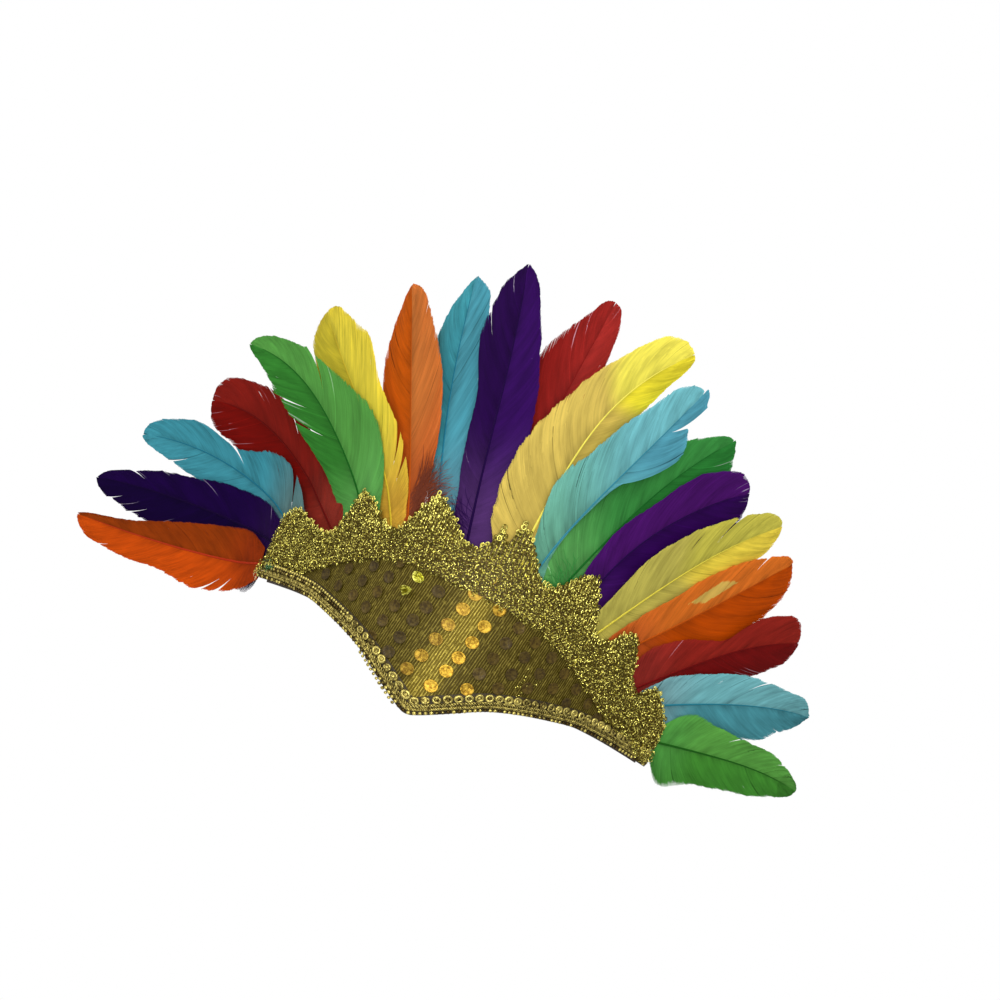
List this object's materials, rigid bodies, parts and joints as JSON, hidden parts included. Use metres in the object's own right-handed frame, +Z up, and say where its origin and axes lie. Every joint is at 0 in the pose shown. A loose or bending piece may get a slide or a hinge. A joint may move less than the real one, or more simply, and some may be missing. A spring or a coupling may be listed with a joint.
{
  "type": "carnival feather headdress",
  "caption": "Half-crown carnival headdress: sequin cloth band with a peak, gold braid and scalloped lace, a fan of bright feathers, and an elastic.",
  "frame": {"origin": "middle of the band's inner face, level with the elastic, where the headdress rests on the forehead", "axes": "+X to the viewer's right as seen from the front, +Y back towards the head, +Z up"},
  "size_m": [0.3828, 0.1746, 0.2058],
  "materials": {
    "sequin_cloth": "olive-gold metallic twill with round gold sequins",
    "lining_felt": "dark brown felt",
    "gold_braid": "pale gold looped gimp braid",
    "gold_lace": "crinkled gold metallic lace",
    "feather_orange": "dyed goose feather, orange",
    "feather_purple": "dyed goose feather, deep purple",
    "feather_blue": "dyed goose feather, light blue",
    "feather_red": "dyed goose feather, dark red",
    "feather_green": "dyed goose feather, green",
    "feather_yellow": "dyed goose feather, yellow",
    "elastic_cloth": "woven dark elastic"
  },
  "bodies": {
    "root": {"front_panel": "sequin_cloth", "back_lining": "lining_felt", "braid_trim": "gold_braid", "lace_trim": "gold_lace", "feather_01_orange": "feather_orange", "feather_02_purple": "feather_purple", "feather_03_blue": "feather_blue", "feather_04_red": "feather_red", "feather_05_green": "feather_green", "feather_06_yellow": "feather_yellow", "feather_07_orange": "feather_orange", "feather_08_blue": "feather_blue", "feather_09_purple": "feather_purple", "feather_10_red": "feather_red", "feather_11_yellow": "feather_yellow", "feather_12_blue": "feather_blue", "feather_13_green": "feather_green", "feather_14_purple": "feather_purple", "feather_15_yellow": "feather_yellow", "feather_16_orange": "feather_orange", "feather_17_red": "feather_red", "feather_18_blue": "feather_blue", "feather_19_green": "feather_green", "elastic_strap": "elastic_cloth"}
  },
  "joints": []
}
